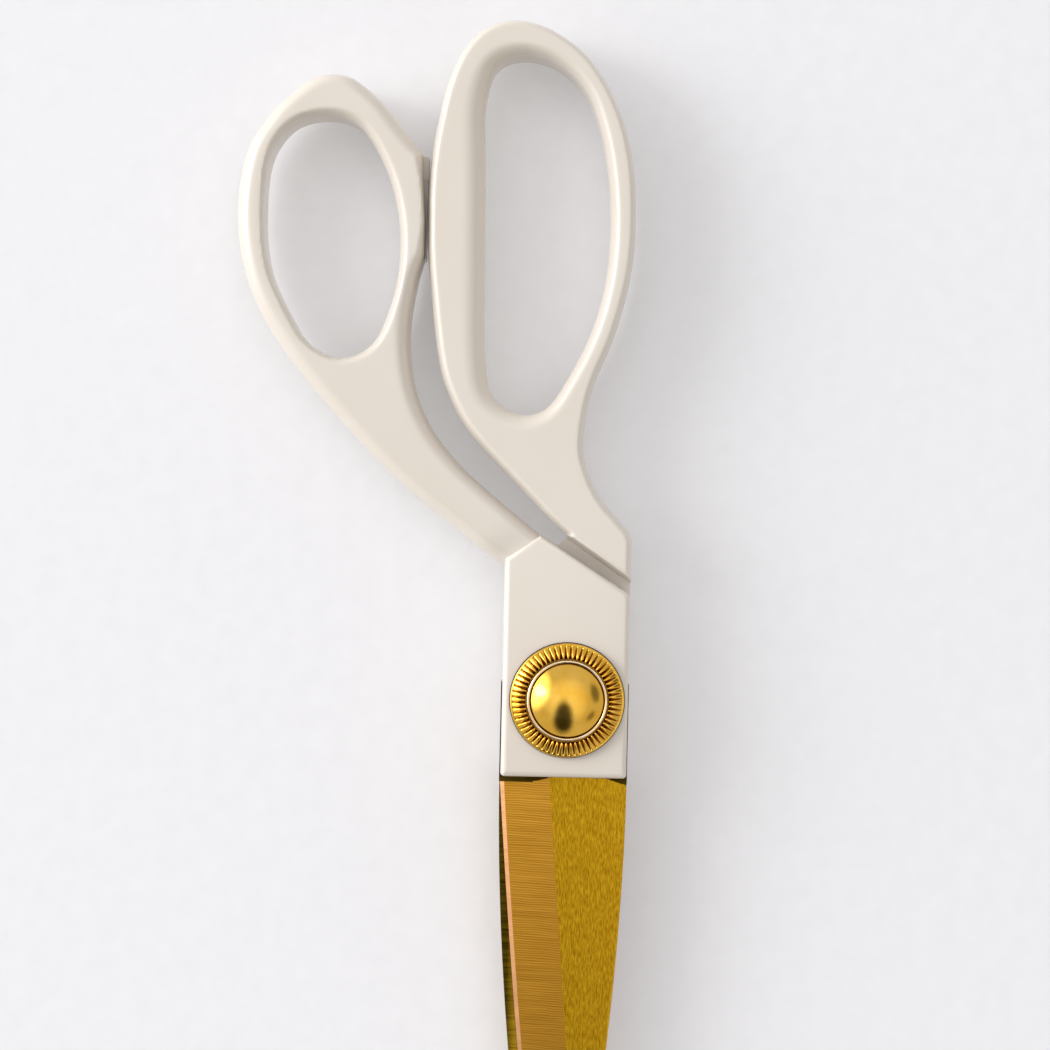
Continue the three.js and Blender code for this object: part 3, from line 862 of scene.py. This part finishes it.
def ground_gold():
    """The wide facet, with even lines across it from the grinding wheel and fine scratches between."""
    finish = Finish("ground_gold_facet", (0.45, 0.22, 0.025), 1.0, 0.34)
    lines = finish.ripples(0.00042, 3.0)
    scratches = finish.noise((90, 4200, 90), 3)
    uneven = finish.noise(160, 2)
    share = finish.mixed(finish.between(lines, 0, 1), finish.between(scratches, 0, 1), uneven)
    finish.tint(share, (0.30, 0.13, 0.009), (0.50, 0.25, 0.03))
    finish.rough(scratches, 0.3, 0.42)
    finish.bump([lines, scratches], 0.000006)
    return finish.material


def hollow_ground_gold():
    """The inner face: painted shade and dark reflection along the spine, bright where the other blade
    passes over it.
    """
    finish = Finish("hollow_ground_gold", (0.5, 0.3, 0.025), 1.0, 0.34)
    grain = finish.noise((150, 1900, 150), 4, 0.6)
    fine = finish.noise((450, 5700, 450), 2, 0.6)
    across = finish.nodes.new("ShaderNodeMath")
    across.operation = "ABSOLUTE"
    split = finish.add("ShaderNodeSeparateXYZ", Vector=finish.place)
    finish.links.new(split.outputs["X"], across.inputs[0])
    unshaded = finish.add(
        "ShaderNodeMapRange", Value=across.outputs[0], From_Min=SHADED_FROM, From_Max=UNSHADED_FROM
    )
    # The near-black end is painted shade and a painted dark reflection along the spine.
    spine_shade, bright = finish.between(grain, 0, 0.18), finish.between(grain, 0.5, 1.0)
    share = finish.mixed(spine_shade, bright, unshaded.outputs[0])
    finish.tint(share, (0.03, 0.021, 0.001), (0.66, 0.39, 0.022))
    finish.rough(fine, 0.28, 0.42)
    finish.bump([grain, fine], 0.000012)
    return finish.material


def polished_gold():
    finish = Finish("polished_gold", (0.84, 0.49, 0.09), 1.0, 0.13)
    tarnish = finish.noise(260, 5)
    finish.tint(finish.between(tarnish, 0, 1), (0.78, 0.42, 0.04), (0.90, 0.55, 0.10))
    finish.rough(tarnish, 0.11, 0.19)
    finish.bump([finish.noise(420, 3)], 0.00002)
    return finish.material


def bead_highlight_gold():
    """Lighter, paler gold on the bolt's bead: a painted highlight of the bright light it reflects."""
    finish = Finish("bead_highlight_gold", (0.94, 0.72, 0.44), 1.0, 0.2)
    blotches = finish.noise(700, 3)
    finish.tint(finish.between(blotches, 0, 1), (0.86, 0.58, 0.26), (0.97, 0.80, 0.56))
    finish.rough(blotches, 0.16, 0.26)
    return finish.material


def shaded_groove_gold():
    """Dark gold low in the flutes, in the collar's recess and round the bolt's flange: painted shade."""
    finish = Finish("shaded_groove_gold", (0.30, 0.13, 0.012), 1.0, 0.3)
    mottle = finish.noise(900, 3)
    finish.tint(finish.between(mottle, 0, 1), (0.18, 0.07, 0.006), (0.5, 0.25, 0.03))
    finish.rough(mottle, 0.24, 0.38)
    return finish.material


def black_nylon():
    finish = Finish("black_nylon", (0.012, 0.011, 0.010), 0.0, 0.5)
    finish.rough(finish.noise(900, 2), 0.42, 0.6)
    finish.bump([finish.noise(2500, 2)], 0.00001)
    return finish.material


def spring_steel():
    finish = Finish("spring_steel", (0.5, 0.51, 0.53), 1.0, 0.28)
    finish.rough(finish.noise((1200, 1200, 200), 3), 0.2, 0.36)
    finish.bump([finish.noise((1800, 1800, 300), 2)], 0.000008)
    return finish.material


def give(obj, *materials):
    obj.data.materials.clear()
    for material in materials:
        obj.data.materials.append(material)


def finish_collar(obj):
    """The polished collar, with painted shade in dark gold low in its flutes and in the recess inside
    them.
    """
    give(obj, gold, painted_shade_gold)
    low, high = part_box("fluted_washer")
    for polygon in obj.data.polygons:
        x, y, z = polygon.center / MM
        r = math.hypot(x, y)
        inwards = (high.x / MM - r) / FLUTED_WIDTH
        in_flute = flute_wave(math.atan2(y, x)) > 1.05 - 0.5 * inwards
        in_recess = r < RECESS + 0.03
        above_foot = z > low.z / MM + 0.3
        # Dark gold here is painted shade in the flutes and the recess.
        polygon.material_index = DARK if above_foot and (in_flute or in_recess) else GOLD


def finish_bolt(obj):
    """The polished bolt, with painted shade in the groove round its dome and a painted highlight on its
    bead.
    """
    give(obj, gold, painted_shade_gold, painted_highlight_gold)
    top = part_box("pivot_bolt")[1].z / MM
    for polygon in obj.data.polygons:
        x, y, z = polygon.center / MM
        r = math.hypot(x, y)
        # Painted shade in the groove round the dome.
        in_groove = DOME_RADIUS - 0.03 < r < DOME_RADIUS + 0.3 and top - 3.2 < z < top - 2.36
        # A painted highlight on the bead.
        on_bead = r > DOME_RADIUS + 0.2 and z > top - 2.5
        polygon.material_index = DARK if in_groove else PALE if on_bead else GOLD


def finish_blade(node, half):
    """Each ground or brushed face of a blade has a finish of its own, told by how the face is turned."""
    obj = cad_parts[node]
    give(obj, flat_steel, facet_steel, edge_steel, inner_steel, shaded_root_steel)
    to_half = half.inverted()
    turn = to_half.to_3x3().normalized()
    for polygon in obj.data.polygons:
        normal = turn @ polygon.normal
        corners = [to_half @ obj.data.vertices[i].co for i in polygon.vertices]
        highest = max(corner.z for corner in corners)
        lowest = min(corner.y for corner in corners)
        faces_out, faces_in = normal.z > 0.5, normal.z < -0.5
        leans_to_edge = normal.x < -0.1
        by_edge = highest < EDGE_TOP_Z
        at_root_level = normal.z > 0.9 and abs(highest - ROOT_TOP_Z) < 0.05
        # The root's top under the block gets painted shade.
        if at_root_level and lowest > ROOT_END_Y:
            polygon.material_index = ROOT
        elif faces_out and leans_to_edge:
            polygon.material_index = EDGE if by_edge else FACET
        elif faces_out:
            polygon.material_index = FLAT
        elif faces_in:
            polygon.material_index = INNER
        else:
            polygon.material_index = EDGE if by_edge and normal.x < 0 else FLAT


enamel = cream_enamel()
gold = polished_gold()
painted_shade_gold = shaded_groove_gold()
painted_highlight_gold = bead_highlight_gold()
nylon = black_nylon()
steel = spring_steel()
flat_steel = brushed_gold(
    "brushed_gold_flat",
    dark=(0.40, 0.185, 0.003),
    light=(0.80, 0.465, 0.018),
    features=(5000, 850, 5000),
    roughness=0.34,
    depth=0.000012,
    turn=0.06,
)
facet_steel = ground_gold()
edge_steel = brushed_gold(
    "honed_gold_edge",
    dark=(0.38, 0.19, 0.085),
    light=(0.46, 0.235, 0.11),
    features=(60, 900, 60),
    roughness=0.24,
    depth=0.000002,
)
inner_steel = hollow_ground_gold()
# Near-black gold on the root's top under the block: painted shade in the narrow gap there.
shaded_root_steel = brushed_gold(
    "painted_shade_root",
    dark=(0.035, 0.022, 0.003),
    light=(0.10, 0.062, 0.008),
    features=(300, 1500, 300),
    roughness=0.5,
    depth=0.000012,
)

give(thumb_shell, enamel)
give(finger_shell, enamel)
finish_bolt(bolt)
finish_collar(collar)
finish_blade("thumb_blade", thumb_frame)
finish_blade("finger_blade", finger_frame)
for name, material, slot_name in (
    ("head_thrust_washer", nylon, "nylon_black"),
    ("rear_thrust_washer", nylon, "nylon_black"),
    ("spring_washer", steel, "spring_steel"),
    ("tension_nut", gold, "pivot_gold"),
):
    give(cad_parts[name], material)


# ---------- stage, light and camera ----------
def paper_floor():
    """Pale paper that glows a little, for the light that a white room throws back."""
    grid = bmesh.new()
    bmesh.ops.create_grid(grid, x_segments=8, y_segments=8, size=2)
    mesh = bpy.data.meshes.new("floor")
    grid.to_mesh(mesh)
    grid.free()
    floor = bpy.data.objects.new("floor", mesh)
    bpy.context.scene.collection.objects.link(floor)
    finish = Finish("lit_paper", (0.595, 0.59, 0.60), 0.0, 0.9)
    fibres = finish.noise(260, 4)
    finish.tint(finish.between(fibres, 0, 1), (0.585, 0.58, 0.59), (0.605, 0.60, 0.61))
    finish.bump([fibres], 0.00012)
    finish.shader.inputs["Emission Color"].default_value = (1, 0.99, 1, 1)
    finish.shader.inputs["Emission Strength"].default_value = 0.22
    give(floor, finish.material)


def soft_box(name, location, target, size, power):
    light = bpy.data.lights.new(name, "AREA")
    light.shape = "ELLIPSE"
    light.size, light.size_y = size
    light.energy = power
    lamp = bpy.data.objects.new(name, light)
    lamp.location = location
    lamp.rotation_euler = (Vector(target) - Vector(location)).to_track_quat("-Z", "Y").to_euler()
    bpy.context.scene.collection.objects.link(lamp)


def studio_world():
    """A pale room, brighter towards its windows on the left, with darker things standing in it."""
    world = bpy.data.worlds.new("studio")
    world.use_nodes = True
    bpy.context.scene.world = world
    nodes, links = world.node_tree.nodes, world.node_tree.links
    direction = nodes.new("ShaderNodeTexCoord").outputs["Generated"]

    def vector(operation, a, b=None):
        made = nodes.new("ShaderNodeVectorMath")
        made.operation = operation
        links.new(a, made.inputs[0])
        if b:
            made.inputs[1].default_value = b
        return made.outputs["Value" if operation in ("DOT_PRODUCT", "LENGTH") else "Vector"]

    def ramp(value, start, end, low, high):
        made = nodes.new("ShaderNodeMapRange")
        made.interpolation_type = "SMOOTHSTEP"
        links.new(value, made.inputs[0])
        for i, setting in enumerate((start, end, low, high), start=1):
            made.inputs[i].default_value = setting
        return made.outputs[0]

    def both(operation, a, b):
        made = nodes.new("ShaderNodeMath")
        made.operation = operation
        links.new(a, made.inputs[0])
        links.new(b, made.inputs[1])
        return made.outputs[0]

    def patch(towards, squeeze, full, clear, strength):
        """Dims the room to the strength, as far round a direction as full, and not at all past clear."""
        away = vector("MULTIPLY", vector("SUBTRACT", direction, towards), squeeze)
        return ramp(vector("LENGTH", away), full, clear, strength, 1.0)

    lit_side = vector("DOT_PRODUCT", direction, Vector((-0.7, 0.5, 0.5)).normalized())
    walls = ramp(lit_side, -0.6, 0.9, 0.72, 0.74)
    overhead = ramp(vector("DOT_PRODUCT", direction, (0, 0, 1)), 0.55, 1.0, 0.0, 0.5)
    room = both("ADD", walls, overhead)
    low_window = vector("DOT_PRODUCT", direction, Vector((-0.93, 0.25, 0.27)).normalized())
    windows = ramp(low_window, 0.77, 1.0, 0.0, 3.0)
    stand = patch((-0.1, -0.62, 0.74), (1.2, 0.6, 0.6), 0.26, 0.5, 0.05)
    cabinet = patch((0.86, 0.2, 0.42), (1.0, 0.9, 1.6), 0.16, 0.36, 0.3)
    shelf = patch((0.75, -0.5, 0.42), (1.0, 1.0, 1.6), 0.08, 0.26, 0.35)
    dimming = both("MULTIPLY", stand, both("MULTIPLY", cabinet, shelf))
    brightness = both("MULTIPLY", both("ADD", room, windows), dimming)
    tone = nodes.new("ShaderNodeMix")
    tone.data_type = "RGBA"
    tone.inputs[6].default_value = (1.0, 0.965, 0.92, 1)
    tone.inputs[7].default_value = (0.99, 0.99, 1.01, 1)
    links.new(ramp(lit_side, -0.6, 0.5, 0.0, 1.0), tone.inputs[0])
    background = nodes["Background"]
    links.new(tone.outputs[2], background.inputs["Color"])
    links.new(brightness, background.inputs["Strength"])


def camera():
    """Straight above the loops, turned a little, so that the tips run out of the bottom of the frame."""
    view_width, height, sensor = 0.1858, 0.430, 36.0
    middle_x, middle_y, turn = -0.00813, 0.0308, 1.3
    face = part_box("thumb_handle")[1].z
    data = bpy.data.cameras.new("camera")
    data.sensor_width = sensor
    data.lens = sensor * height / view_width
    made = bpy.data.objects.new("camera", data)
    made.location = (middle_x, middle_y, face + height)
    made.rotation_euler = (0, 0, math.radians(turn))
    bpy.context.scene.collection.objects.link(made)
    bpy.context.scene.camera = made


paper_floor()
soft_box("window", location=(-1.3, 0.4, 0.72), target=(0, 0.02, 0), size=(0.5, 0.9), power=8.0)
studio_world()
camera()
bpy.context.scene.view_settings.view_transform = "Standard"
